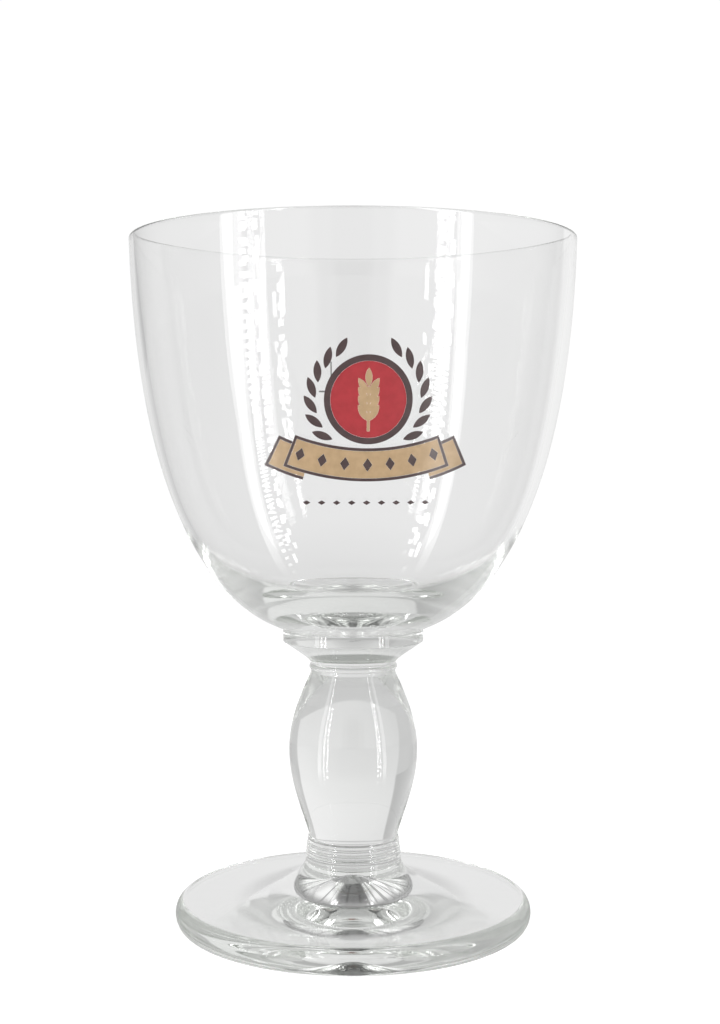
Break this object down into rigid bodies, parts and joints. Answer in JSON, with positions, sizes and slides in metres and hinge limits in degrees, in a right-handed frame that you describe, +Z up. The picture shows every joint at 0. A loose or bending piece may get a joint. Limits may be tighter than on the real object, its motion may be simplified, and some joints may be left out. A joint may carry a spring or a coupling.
{
  "type": "chalice beer glass",
  "caption": "Footed glass for beer with a deep round bowl, a baluster stem, a heavy round foot, a printed badge and a fill line.",
  "frame": {"origin": "centre of the foot's resting ring, at the height of the table", "axes": "+Z up the axis that the glass is turned about, -Y towards the printed front"},
  "size_m": [0.097, 0.097, 0.15],
  "materials": {
    "clear_glass": "fire polished",
    "dark_enamel": "fired enamel print",
    "red_enamel": "fired enamel print",
    "gold_enamel": "fired enamel print",
    "line_enamel": "fired enamel print"
  },
  "bodies": {
    "root": {"foot": "clear_glass", "ringed_neck": "clear_glass", "stem": "clear_glass", "collar": "clear_glass", "bowl": "clear_glass", "badge_dark": "dark_enamel", "badge_red": "red_enamel", "badge_gold": "gold_enamel", "fill_line": "line_enamel"}
  },
  "joints": []
}
